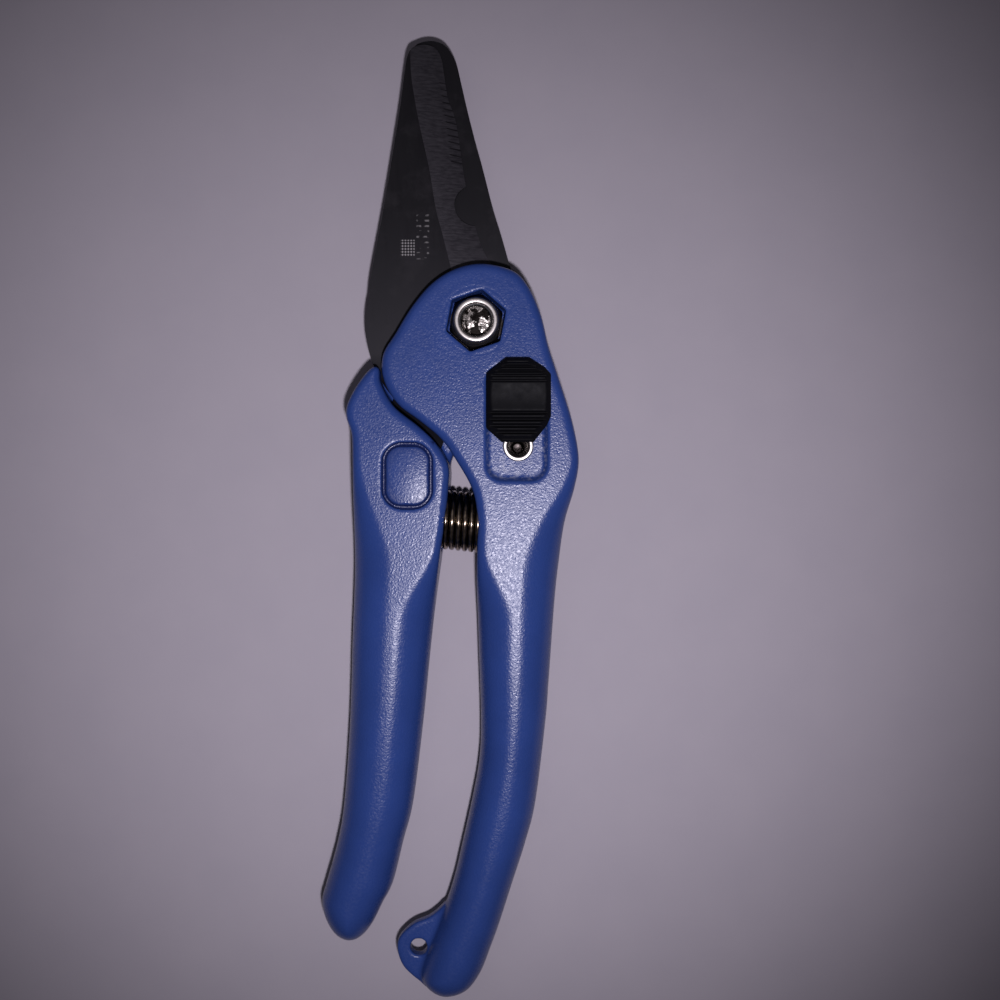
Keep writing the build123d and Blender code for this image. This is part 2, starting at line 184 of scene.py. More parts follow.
FRONT_STEEL_OUTLINE = outline(
    smooth([(4.4, 10.6), (0.8, 17.2), (-2.2, 28.8), (-4.3, 42.3), (-6.0, 47.5), (-6.9, 53.0), (-7.4, 55.8),
            (-8.5, 57.8), (-10.6, 58.5), (-13.0, 57.9), (-14.3, 56.2), (-15.0, 52.3), (-16.1, 44.0),
            (-19.2, 25.0), (-21.9, 10.4), polar(HEEL_R, 167)]),
    arc(HEEL_R, 167, 222),
    smooth([polar(HEEL_R, 222), (-8.0, -17.6), (0.0, -22.4), (3.6, -27.0), (5.6, -31.6), (8.8, -33.2),
            (12.4, -31.2), (13.8, -24.0), (13.6, -14.0), (11.6, -4.0), polar(11.4, 10)]),
    arc(11.4, 10, 67),
)
REAR_STEEL_OUTLINE = outline(
    smooth([(-3.2, 50.6), (-1.86, 44.8), (-0.4, 39.0), (1.3, 32.8), (3.4, 24.6), (5.3, 18.4), (7.15, 12.0),
            (9.6, 5.6), (11.4, 0.0), (14.4, -7.0), polar(18.8, -36)]),
    arc(18.8, -36, -96),
    smooth([polar(18.8, -96), (-6.4, -23.0), (-9.4, -31.0), (-12.6, -34.6), (-14.6, -39.0), (-17.2, -40.4),
            (-19.2, -38.0), (-19.6, -29.0), (-18.6, -19.0), (-12.8, -4.0), (-11.0, 6.0), (-11.2, 20.0),
            (-12.0, 36.0), (-13.3, 49.0), (-14.0, 55.0), (-13.8, 57.6), (-12.5, 59.2), (-10.2, 59.85),
            (-8.1, 59.6), (-6.2, 58.4), (-4.4, 55.4), (-3.2, 50.6)]),
)


# ---------------------------------------------------------------- solids as distance fields

class Field:
    """A grid of points over a box, on which solids are written as signed distances in millimetres."""

    def __init__(self, low, high, step):
        self.low = np.array(low, float)
        self.step = step
        sides = [np.arange(a, b + step, step, dtype=np.float32) for a, b in zip(low, high)]
        self.x = sides[0][:, None, None]
        self.y = sides[1][None, :, None]
        self.z = sides[2][None, None, :]

    def inside(self, loop):
        """Signed distance to an outline, negative inside, over the grid's columns."""
        x, y = self.x, self.y
        nearest = np.full(np.broadcast(x, y).shape, 1e9, np.float32)
        crossings = np.zeros(nearest.shape, bool)
        for (ax, ay), (bx, by) in zip(loop, np.roll(loop, -1, 0)):
            ex, ey = bx - ax, by - ay
            t = np.clip(((x - ax) * ex + (y - ay) * ey) / (ex * ex + ey * ey), 0, 1)
            nearest = np.minimum(nearest, (x - ax - t * ex) ** 2 + (y - ay - t * ey) ** 2)
            if abs(ey) > 1e-9:
                beside = (y >= min(ay, by)) & (y < max(ay, by))
                crossings ^= beside & (x < ax + (y - ay) * ex / ey)
        return np.where(crossings, -1, 1) * np.sqrt(nearest)

    def round_box(self, middle, size, corner):
        """Signed distance to a rectangle with round corners, over the columns."""
        qx = np.abs(self.x - middle[0]) - size[0] / 2 + corner
        qy = np.abs(self.y - middle[1]) - size[1] / 2 + corner
        return np.hypot(np.maximum(qx, 0), np.maximum(qy, 0)) + np.minimum(np.maximum(qx, qy), 0) - corner

    def hexagon(self, across, turn):
        """Signed distance to a six-sided prism about the pivot."""
        sides = [self.x * math.cos(turn + a) + self.y * math.sin(turn + a) for a in np.radians((0, 60, 120))]
        return np.maximum(np.maximum(np.abs(sides[0]), np.abs(sides[1])), np.abs(sides[2])) - across / 2

    def round_slot(self, x, y_ends, radius):
        """Signed distance to a round-ended slot along Y."""
        along = np.clip(self.y, min(y_ends), max(y_ends))
        return np.hypot(self.x - x, self.y - along) - radius

    def disc(self, radius, at=(0, 0)):
        return np.hypot(self.x - at[0], self.y - at[1]) - radius

    def slab(self, flat, low, high):
        """A flat shape stood up between two heights."""
        return np.maximum(flat, np.maximum(low - self.z, self.z - high))

    def pillow(self, flat, low, high, side, rise):
        """A flat shape stood up between two heights, with elliptical edges: they reach side inwards and
        rise upwards."""
        across = (flat + side) / side
        up = (np.abs(self.z - (low + high) / 2) - ((high - low) / 2 - rise)) / rise
        shape = np.hypot(np.maximum(across, 0), np.maximum(up, 0)) + np.minimum(np.maximum(across, up), 0) - 1
        return shape * np.minimum(side, rise)


def join(a, b, soft=0.0):
    """Union of two fields, filleted by about the given radius."""
    if not soft:
        return np.minimum(a, b)
    h = np.maximum(soft - np.abs(a - b), 0) / soft
    return np.minimum(a, b) - h * h * soft / 4


def remove(a, b, soft=0.0):
    """Field a without b, with the new edge softened."""
    return -join(-a, b, soft)


def step_between(value, low, high):
    """0 below low, 1 above high and smooth between."""
    t = np.clip((value - low) / (high - low), 0, 1)
    return t * t * (3 - 2 * t)


def surface(grid, field):
    """Vertices and faces of the surface where the field is zero, one vertex in each cell it crosses."""
    inner = field < 0
    shape = np.array(field.shape) - 1
    corner = [np.array((i, j, k)) for i in (0, 1) for j in (0, 1) for k in (0, 1)]

    def window(c):
        return tuple(slice(c[i], shape[i] + c[i]) for i in range(3))

    count = sum(inner[window(c)].astype(np.int8) for c in corner)
    active = (count > 0) & (count < 8)
    cells = np.argwhere(active)
    number = np.full(active.shape, -1, np.int32)
    number[active] = np.arange(len(cells))
    total = np.zeros((len(cells), 3))
    hits = np.zeros(len(cells))
    for axis in range(3):
        unit = np.eye(3, dtype=int)[axis]
        for c in corner:
            if c[axis]:
                continue
            a = field[tuple((cells + c).T)]
            b = field[tuple((cells + c + unit).T)]
            crossed = (a < 0) != (b < 0)
            t = np.where(crossed, a / np.where(crossed, a - b, 1), 0)
            total += np.where(crossed[:, None], c + t[:, None] * unit, 0)
            hits += crossed
    points = cells + total / hits[:, None]
    faces = []
    for axis in range(3):
        unit = np.eye(3, dtype=int)
        b, c = unit[(axis + 1) % 3], unit[(axis + 2) % 3]
        first = inner[tuple(slice(0 if i == axis else 1, shape[i]) for i in range(3))]
        second = inner[tuple(slice(1, shape[i] + (i == axis)) for i in range(3))]
        edge = np.argwhere(first != second) + (1 - unit[axis])
        quads = np.stack([number[tuple(e.T)] for e in (edge, edge - b, edge - b - c, edge - c)], 1)
        leaving = inner[tuple(edge.T)]
        quads[~leaving] = quads[~leaving][:, ::-1]
        faces.append(quads)
    return points * grid.step + grid.low, np.vstack(faces)


def place(points):
    """From millimetres about the pivot to metres in the frame."""
    return np.asarray(points) * MM + np.array(PIVOT)


def mesh_piece(name, points, faces, angle=None):
    """A mesh object with smooth shading, with sharp edges above an angle in degrees."""
    mesh = bpy.data.meshes.new(name)
    mesh.from_pydata(place(points).tolist(), [], [list(map(int, f)) for f in faces])
    mesh.validate()
    mesh.shade_smooth()
    if angle:
        mesh.set_sharp_from_angle(angle=math.radians(angle))
    piece = bpy.data.objects.new(name, mesh)
    bpy.context.scene.collection.objects.link(piece)
    return piece


def field_piece(name, grid, field):
    points, faces = surface(grid, field)
    return mesh_piece(name, points, faces)


def fineness(step):
    return step


# ---------------------------------------------------------------- handles

def spring_socket(grid, side):
    """Ring-shaped recess for one end of the spring, around a peg: side is 1 in the front handle."""
    x = grid.x - SPRING_AT[0]
    y = grid.y - SPRING_AT[1]
    along = (x * math.cos(SPRING_TILT) + y * math.sin(SPRING_TILT)) * side
    across = y * math.cos(SPRING_TILT) - x * math.sin(SPRING_TILT)
    from_axis = np.hypot(across, grid.z - MID)
    depth = 9.3
    peg = np.maximum(from_axis - (COIL_R - 0.78), 3.6 - along)
    return np.maximum(np.maximum(from_axis - (COIL_R + 1.02), along - depth), -peg)


def rivet_seat(grid, at):
    """A tubular rivet's hole, with the counterbore for its head in the rear face."""
    counterbore = grid.slab(grid.disc(RIVET_HEAD_R + 0.35, at), -1, RIVET_HEAD_TOP)
    return np.minimum(counterbore, grid.slab(grid.disc(RIVET_R + 0.07, at), 0, THICK + 1))


def grip(grid, flat, grippy, widths, side, rise):
    """A handle's body. Its edges reach side inwards and rise upwards where it is a box, and nearly to its
    middle where grippy is 1. widths are a few (y, width) pairs of the grip, the lowest y first."""
    at, wide = zip(*widths)
    round_side = 0.96 * (np.interp(grid.y, at, wide).astype(np.float32) / 2)
    return grid.pillow(flat, 0, THICK, side + (round_side - side) * grippy,
                       rise + (GRIP_RISE - rise) * grippy)


def roundness(grid, middle, outer):
    """How far the section has turned from a box to a rounded grip, from 0 to 1. The half towards the spring
    stays square for longer; outer is 1 where the other half is on the right."""
    far = step_between((grid.x - middle) * outer, -1.5, 1.5)
    return far * step_between(-grid.y, 27, 52) + (1 - far) * step_between(-grid.y, 46, 62)


def front_handle():
    grid = Field((-20, -141, -1), (22.2, 13, 17), fineness(0.33))
    body = grip(grid, grid.inside(FRONT_HANDLE), roundness(grid, 8.5, 1), FRONT_WIDTHS, 1.8, 1.6)
    tab = grid.pillow(grid.inside(TAB), MID - 1.5, MID + 1.5, 0.7, 0.7)
    body = join(body, tab, 1.2)
    body = remove(body, grid.slab(grid.disc(1.75, TAB_HOLE), 0, THICK), 0.3)
    under = grid.z - FRONT_STEEL[1]
    flange = np.maximum(grid.x - (-0.8 + (grid.y + 33.6) * 0.233), -33.8 - grid.y)
    body = remove(body, np.maximum(under, np.minimum(grid.disc(INNER_R), flange)), 0.3)
    pocket = grid.slab(grid.hexagon(POCKET_AF, POCKET_TURN), POCKET_FLOOR, THICK + 1)
    body = remove(body, pocket, 0.25)
    slope = (grid.z - TRACK_FLOOR) * 0.6 - 0.6
    track = grid.round_box(TRACK_MIDDLE, TRACK_SIZE, TRACK_CORNER) - slope
    body = remove(body, grid.slab(track, TRACK_FLOOR, THICK + 1), 0.25)
    ends = (LOCK[1], LOCK[1] - LOCK_TRAVEL)
    body = remove(body, grid.slab(grid.round_slot(LOCK[0], ends, SLOT_R), 0, THICK), 0.3)
    body = remove(body, grid.slab(grid.round_slot(LOCK[0], ends, SLOT_R + 1.1), 0, FRONT_STEEL[1] + 1.0))
    body = remove(body, rivet_seat(grid, FRONT_RIVET), 0.3)
    body = remove(body, spring_socket(grid, 1), 0.4)
    return field_piece("front_handle_shell", grid, body)


def rear_handle():
    grid = Field((-33.5, -129.5, -1), (23.5, 13.5, 17), fineness(0.33))
    body = grip(grid, grid.inside(REAR_HANDLE), roundness(grid, -16.0, -1), REAR_WIDTHS, 1.6, 1.5)
    body = join(body, grid.pillow(grid.inside(REAR_HEAD), 0, REAR_STEEL[0], 1.2, 1.4), 0.6)
    body = remove(body, grid.slab(grid.disc(WALL_R), REAR_STEEL[0], NOSE_Z), 0.3)
    body = remove(body, grid.slab(grid.disc(3.1), -1, THICK))
    body = remove(body, grid.slab(grid.disc(6.0), -1, 4.0), 0.4)
    seat = grid.round_box(REAR_RIVET, COVER, COVER_CORNER)
    ring = np.maximum(grid.round_box(REAR_RIVET, GROOVE, GROOVE_CORNER), -seat)
    body = remove(body, grid.slab(ring, THICK - 1.1, THICK + 1), 0.15)
    body = remove(body, grid.slab(seat, THICK - 0.8, THICK + 1))
    body = remove(body, rivet_seat(grid, REAR_RIVET), 0.3)
    body = remove(body, spring_socket(grid, -1), 0.4)
    return field_piece("rear_handle_shell", grid, body)


def rivet_cover():
    """The plug over the rear rivet, with a slightly crowned face."""
    x, y = REAR_RIVET
    top = THICK - 0.05
    grid = Field((x - 5.2, y - 6.9, 14.2), (x + 5.2, y + 6.9, 16.6), fineness(0.2))
    crown = 0.25 * ((grid.x - x) ** 2 / 20 + (grid.y - y) ** 2 / 38)
    body = grid.pillow(grid.round_box(REAR_RIVET, COVER, COVER_CORNER), 13.0, top, 1.1, 0.9)
    body = np.maximum(body, grid.z - top + crown)
    return field_piece("rivet_cover_cap", grid, np.maximum(body, 14.5 - grid.z))


# ---------------------------------------------------------------- lock button

BUTTON = [(2.1, -11.0), (2.1, -22.0), (5.2, -24.8), (11.7, -24.8), (14.4, -21.4), (15.2, -19.6),
          (15.2, -11.2), (13.9, -9.8), (10.8, -7.8), (6.1, -7.8)]


def lock_button():
    """A button with sloping sides, a shallow dish in its middle and V grooves above and below it."""
    low = BUTTON_LOW
    high = top_of("lock_button")
    grid = Field((1.4, -25.2, 14.2), (16.0, -7.0, high + 0.6), fineness(0.16))
    flat = grid.inside(np.array(BUTTON, float))
    body = grid.slab(flat + 0.2, low, high)
    body = np.maximum(body, (flat + (grid.z - high + 1.6) * 0.85) * 0.76) - 0.2
    body = np.maximum(body, low - grid.z)
    for index in range(5):
        body = remove(body, button_groove(grid, -8.7 - index * 0.95, 0.26, high), 0.2)
    for index in range(5):
        body = remove(body, button_groove(grid, -19.0 - index * 1.3, 0.38, high), 0.25)
    dish = np.hypot(grid.y + 15.6, grid.z - high - 14.0) - 14.25
    body = remove(body, dish, 0.3)
    shoe = grid.slab(grid.round_box((LOCK[0], SHOE_Y), SHOE, 1.0), TRACK_FLOOR + 0.05, low + 0.3)
    return field_piece("lock_button_cap", grid, join(body, shoe))


def button_groove(grid, y, half, high):
    """A V groove across the button, between two ribs."""
    return (np.abs(grid.y - y) - half - (grid.z - high) * 0.45) * 0.9


# ---------------------------------------------------------------- turned parts

def lathe(name, profile, at=(0, 0), count=72, angle=35):
    """A turned part from its profile of radius and height; a radius of 0 closes an end."""
    points = []
    rings = []
    for radius, height in profile:
        if radius < 1e-6:
            rings.append([len(points)] * count)
            points.append((at[0], at[1], height))
            continue
        rings.append(list(range(len(points), len(points) + count)))
        for turn in np.linspace(0, 2 * math.pi, count, endpoint=False):
            points.append((at[0] + radius * math.cos(turn), at[1] + radius * math.sin(turn), height))
    if profile[0][0] > 1e-6:
        rings.append(rings[0])
    faces = []
    for lower, upper in zip(rings, rings[1:]):
        for i in range(count):
            j = (i + 1) % count
            corners = dict.fromkeys((lower[i], lower[j], upper[j], upper[i]))
            if len(corners) > 2:
                faces.append(list(corners))
    return mesh_piece(name, points, faces, angle)


def round_over(middle, radius, start, end, count=7):
    """Points of a profile's round edge."""
    return [(middle[0] + radius * math.cos(a), middle[1] + radius * math.sin(a))
            for a in np.radians(np.linspace(start, end, count))]


def pivot_nut():
    """A six-sided nut with a chamfer, and above it a collar with a flattened bead for its rim."""
    low = bottom_of("pivot_nut")
    high = top_of("pivot_nut")
    grid = Field((-6.4, -6.4, low - 0.4), (6.4, 6.4, high + 0.4), fineness(0.14))
    around = grid.disc(0)
    body = grid.slab(grid.hexagon(NUT_AF, POCKET_TURN), low, high - 2.4)
    body = np.maximum(body, (around - 5.55 + (grid.z - high + 3.1) * 1.2) * 0.64)
    body = join(body, grid.slab(around - 4.6, high - 3.0, high - 0.6), 0.4)
    body = remove(body, grid.slab(around - 3.7, high - 1.4, high + 1))
    bead = np.hypot(np.maximum(np.abs(around - 3.95) - 0.2, 0), grid.z - high + 0.4) - 0.4
    body = join(body, bead, 0.1)
    return field_piece("lock_nut", grid, np.maximum(body, 3.0 - around))


def nut_insert():
    """The nylon ring in the nut's collar."""
    high = top_of("nut_insert")
    profile = [(3.02, high - 1.2), (3.68, high - 1.2), (3.68, high - 0.85)]
    profile += round_over((3.36, high - 0.9), 0.30, 20, 160)
    return lathe("insert_ring", profile)


def pivot_bolt():
    """Bolt: a six-sided socket in the rear head, and a thread that shows at the nut's mouth."""
    low, high = bottom_of("pivot_bolt"), top_of("pivot_bolt")
    grid = Field((-5.9, -5.9, low - 0.4), (5.9, 5.9, high + 0.4), fineness(0.15))
    around = grid.disc(0)
    turn = np.arctan2(grid.y, grid.x) / (2 * math.pi)
    thread = np.abs((grid.z - turn) % 1.0 - 0.5) - 0.25
    shank = around - 2.97 + np.maximum(thread, -0.1) * step_between(grid.z, 11.2, 11.8) * 0.7
    facets = (grid.x * 0.16 - grid.y * 0.10, grid.y * 0.14 + grid.x * 0.05, -grid.x * 0.12)
    end = high - 0.35 + np.minimum(np.minimum(facets[0], facets[1]), facets[2])
    shank = np.maximum(shank, grid.z - np.minimum(end, high - 0.05))
    shank = np.maximum(shank, (around + grid.z - high - 2.35) * 0.7)
    head = grid.pillow(around - 5.5, low, 3.1, 1.4, 1.2)
    body = join(head, np.maximum(shank, low + 0.4 - grid.z))
    body = remove(body, grid.slab(grid.hexagon(4.0, 0.3), low - 1, 2.2), 0.2)
    return field_piece("pivot_screw", grid, body)


def rivet(name, at, seat):
    """A tubular rivet: flat head at the back, rim rolled over at the front."""
    edge = 0.3
    outer = RIVET_HEAD_R - edge
    profile = [(0, 0.8)]
    profile += round_over((outer, 0.8 + edge), edge, -90, 0, 5)
    profile += [(RIVET_HEAD_R, RIVET_HEAD_TOP), (RIVET_R, RIVET_HEAD_TOP), (RIVET_R, seat), (2.7, seat)]
    profile += round_over((outer, seat + 0.56), edge, -70, 90)
    profile += round_over((outer - 0.3, seat + 0.56), edge, 90, 170)
    profile += [(1.75, seat + 0.08), (1.6, seat - 1.0), (1.35, 5.0), (0.9, 4.4), (0, 4.2)]
    return lathe(name, profile, at)


# ---------------------------------------------------------------- spring

def return_spring():
    """A coil of 13 working turns with a closed turn at each end."""
    length, turns = 18.2, 13
    steps = turns * 40
    sides = 14
    t = np.linspace(0, 1, steps + 1)
    lead = length / 2 - WIRE_R
    dead = 1.0 / turns
    closed = lead - WIRE_R * 1.9
    run = np.interp(t, [0, dead, 1 - dead, 1], [-lead, -closed, closed, lead])
    turn = 2 * math.pi * turns * t
    middle = np.stack([run, COIL_R * np.cos(turn), COIL_R * np.sin(turn)], 1)
    out = np.stack([np.zeros_like(t), np.cos(turn), np.sin(turn)], 1)
    side = np.tile(np.array([1.0, 0, 0]), (steps + 1, 1))
    points = []
    for a in np.linspace(0, 2 * math.pi, sides, endpoint=False):
        points.append(middle + WIRE_R * (math.cos(a) * out + math.sin(a) * side))
    points = np.stack(points, 1).reshape(-1, 3)
    c, s = math.cos(SPRING_TILT), math.sin(SPRING_TILT)
    turned = np.stack([points[:, 0] * c - points[:, 1] * s, points[:, 0] * s + points[:, 1] * c,
                       points[:, 2]], 1)
    turned += np.array([SPRING_AT[0], SPRING_AT[1], MID])
    faces = []
    for i in range(steps):
        for j in range(sides):
            k = (j + 1) % sides
            faces.append((i * sides + j, (i + 1) * sides + j, (i + 1) * sides + k, i * sides + k))
    faces.append(tuple(range(sides)))
    faces.append(tuple(steps * sides + j for j in reversed(range(sides))))
    return mesh_piece("spring_coil", turned, faces)


# ---------------------------------------------------------------- blades

def prism(name, loop, low, high):
    """An outline stood up between two heights."""
    count = len(loop)
    points = [(x, y, low) for x, y in loop] + [(x, y, high) for x, y in loop]
    area = sum(x0 * y1 - x1 * y0 for (x0, y0), (x1, y1) in zip(loop, np.roll(loop, -1, 0)))
    order = list(range(count)) if area > 0 else list(range(count))[::-1]
    faces = [order[::-1], [count + i for i in order]]
    for i, j in zip(order, order[1:] + order[:1]):
        faces.append((i, j, count + j, count + i))
    return mesh_piece(name, points, faces)


def tube(name, sections):
    """A closed solid through sections that have the same number of corners."""
    size = len(sections[0])
    points = [tuple(p) for section in sections for p in section]
    faces = []
    for s in range(len(sections) - 1):
        for i in range(size):
            j = (i + 1) % size
            faces.append((s * size + i, s * size + j, (s + 1) * size + j, (s + 1) * size + i))
    faces.append(tuple(range(size))[::-1])
    faces.append(tuple((len(sections) - 1) * size + i for i in range(size)))
    piece = mesh_piece(name, points, faces)
    mesh = bmesh.new()
    mesh.from_mesh(piece.data)
    bmesh.ops.recalc_face_normals(mesh, faces=mesh.faces)
    mesh.to_mesh(piece.data)
    mesh.free()
    return piece


def cut(piece, cutter, coat=None):
    """Takes the cutter out of the piece. The cut faces get the coat's material."""
    if coat:
        cutter.data.materials.append(coat)
    tool = piece.modifiers.new("cut", "BOOLEAN")
    tool.object = cutter
    tool.solver = "EXACT"
    tool.material_mode = "TRANSFER"
    seen = bpy.context.evaluated_depsgraph_get()
    mesh = bpy.data.meshes.new_from_object(piece.evaluated_get(seen))
    piece.modifiers.clear()
    piece.data = mesh
    bpy.data.objects.remove(cutter)
    return piece


def grind(name, shoulder, edge, face, way, drop, count=40):
    """The wedge that a blade's bevel takes away. way is 1 for a bevel on the upper face."""
    t = np.linspace(0, 1, count)
    along = np.linspace(0, 1, len(shoulder))
    start = np.stack([np.interp(t, along, np.array(shoulder)[:, i]) for i in (0, 1)], 1)
    along = np.linspace(0, 1, len(edge))
    end = np.stack([np.interp(t, along, np.array(edge)[:, i]) for i in (0, 1)], 1)
    sections = []
    for (sx, sy), (ex, ey) in zip(start, end):
        far = (ex + 1.2 * (ex - sx), ey + 1.2 * (ey - sy))
        sections.append([(sx, sy, face), (*far, face - way * drop * 2.2), (*far, face + 3 * way),
                         (sx, sy, face + 3 * way)])
    return tube(name, sections)


def front_blade(coated, ground):
    """The blade with the serrated edge and the wire notch, ground on its upper face."""
    piece = prism("front_blade_plate", FRONT_STEEL_OUTLINE, *FRONT_STEEL)
    piece.data.materials.append(coated)
    shoulder = smooth([(-13.8, 62.0), (-13.7, 53.0), (-12.9, 47.0), (-11.9, 41.6), (-9.9, 32.6), (-8.5, 24.2),
                       (-6.9, 18.0), (-4.4, 8.0)])
    edge = smooth([(-5.6, 63.0), (-6.2, 53.5), (-4.2, 42.0), (-2.9, 33.0), (-1.6, 25.5), (0.6, 18.4),
                   (5.6, 9.6)])
    cut(piece, grind("bevel", shoulder, edge, FRONT_STEEL[1], 1, GRIND_DROP), ground)
    cut(piece, prism("wire_notch", arc(4.35, 0, 354, 60, (-0.3, 25.2)), 0, THICK), ground)
    for index in range(13):
        y = 50.4 - index * 1.37
        x = float(np.interp(y, [30, 42, 54], [-2.5, -4.2, -6.1]))
        cut(piece, serration(x, y), ground)
    for at, radius in (((0, 0), BOLT_HOLE_R), (FRONT_RIVET, RIVET_HOLE_R)):
        cut(piece, prism("hole", arc(radius, 0, 352, 44, at), 0, THICK))
    piece.data.set_sharp_from_angle(angle=math.radians(25))
    return piece


def serration(x, y):
    """One short groove across the bevel, next to the edge."""
    low = FRONT_STEEL[0]
    sections = []
    for dx, half in ((0.6, 0.42), (-2.1, 0.40), (-2.7, 0.05)):
        height = low + 0.42 - dx * 0.235
        drop = 0.30 if dx > -2.5 else 0.0
        sections.append([(x + dx, y - half - dx * 0.18, height + 0.5), (x + dx, y - dx * 0.18, height - drop),
                         (x + dx, y + half - dx * 0.18, height + 0.5)])
    return tube("serration", sections)


def rear_blade(coated, ground):
    """The plain blade, ground on its lower face, with the notch for the lock's catch."""
    piece = prism("rear_blade_plate", REAR_STEEL_OUTLINE, *REAR_STEEL)
    piece.data.materials.append(coated)
    shoulder = smooth([(-3.6, 64.0), (-4.2, 52.0), (-3.2, 36.0), (-1.6, 20.0), (0.6, 8.0)])
    edge = smooth([(-12.0, 64.0), (-11.2, 52.0), (-11.4, 36.0), (-11.4, 20.0), (-11.0, 8.0)])
    cut(piece, grind("bevel", shoulder, edge, REAR_STEEL[0], -1, GRIND_DROP), ground)
    x, y = LOCK
    notch_r = SLOT_R + 0.25
    notch = list(arc(notch_r, 180, 0, 24, (x, y + 0.1))) + [(x + notch_r, -22), (x - notch_r, -22)]
    cut(piece, prism("lock_notch", np.array(notch), 0, THICK), ground)
    for at, radius in (((0, 0), BOLT_HOLE_R), (REAR_RIVET, RIVET_HOLE_R)):
        cut(piece, prism("hole", arc(radius, 0, 352, 44, at), 0, THICK))
    piece.data.set_sharp_from_angle(angle=math.radians(25))
    return piece


# ---------------------------------------------------------------- materials

class Look:
    """A node material. Its methods add one node each and give back the node's output."""

    def __init__(self, name, colour, rough, metal=0.0):
        self.material = bpy.data.materials.new(name)
        self.material.use_nodes = True
        self.tree = self.material.node_tree
        self.shader = self.tree.nodes["Principled BSDF"]
        self.shader.inputs["Base Color"].default_value = (*colour, 1)
        self.shader.inputs["Roughness"].default_value = rough
        self.shader.inputs["Metallic"].default_value = metal
        self.place = self.add("ShaderNodeTexCoord").outputs["Object"]

    def add(self, kind, links=(), **settings):
        node = self.tree.nodes.new(kind)
        for key, value in settings.items():
            setattr(node, key, value)
        for socket, source in dict(links).items():
            if isinstance(source, bpy.types.NodeSocket):
                self.tree.links.new(source, node.inputs[socket])
            else:
                node.inputs[socket].default_value = source
        return node

    def stretched(self, scale, turn=0.0):
        """Object coordinates, turned about Z and scaled."""
        links = {"Vector": self.place, "Rotation": (0, 0, turn), "Scale": scale}
        return self.add("ShaderNodeMapping", links).outputs[0]

    def noise(self, scale, detail=2.0, rough=0.5, vector=None):
        links = {"Vector": vector or self.place, "Scale": scale, "Detail": detail, "Roughness": rough}
        return self.add("ShaderNodeTexNoise", links).outputs["Fac"]

    def cells(self, scale):
        links = {"Vector": self.place, "Scale": scale}
        return self.add("ShaderNodeTexVoronoi", links).outputs["Distance"]

    def math(self, operation, a, b=0.0):
        return self.add("ShaderNodeMath", {0: a, 1: b}, operation=operation).outputs[0]

    def ranged(self, value, low, high, new_low=0.0, new_high=1.0):
        links = {0: value, 1: low, 2: high, 3: new_low, 4: new_high}
        return self.add("ShaderNodeMapRange", links).outputs[0]

    def mix(self, share, a, b):
        colours = [(*c, 1) if isinstance(c, tuple) else c for c in (a, b)]
        links = {0: share, 6: colours[0], 7: colours[1]}
        return self.add("ShaderNodeMix", links, data_type="RGBA").outputs[2]

    def drive(self, socket, source):
        self.tree.links.new(source, self.shader.inputs[socket])

    def bump(self, height, strength, distance):
        links = {"Height": height, "Strength": strength, "Distance": distance * MM}
        self.drive("Normal", self.add("ShaderNodeBump", links).outputs[0])

    def axes(self):
        """The three coordinates in millimetres about the pivot."""
        split = self.add("ShaderNodeSeparateXYZ", {0: self.place})
        return [self.math("DIVIDE", self.math("SUBTRACT", split.outputs[i], PIVOT[i]), MM) for i in range(3)]

    def distance(self, value, origin):
        return self.math("ABSOLUTE", self.math("SUBTRACT", value, origin))

    def box(self, x, y, middle, size):
        """1 inside a rectangle seen from above, and 0 outside it."""
        across = self.ranged(self.distance(x, middle[0]), size[0] / 2, size[0] / 2 + 0.3, 1.0, 0.0)
        along = self.ranged(self.distance(y, middle[1]), size[1] / 2, size[1] / 2 + 0.3, 1.0, 0.0)
        return self.math("MULTIPLY", across, along)


BLUE = (0.0205, 0.047, 0.186)


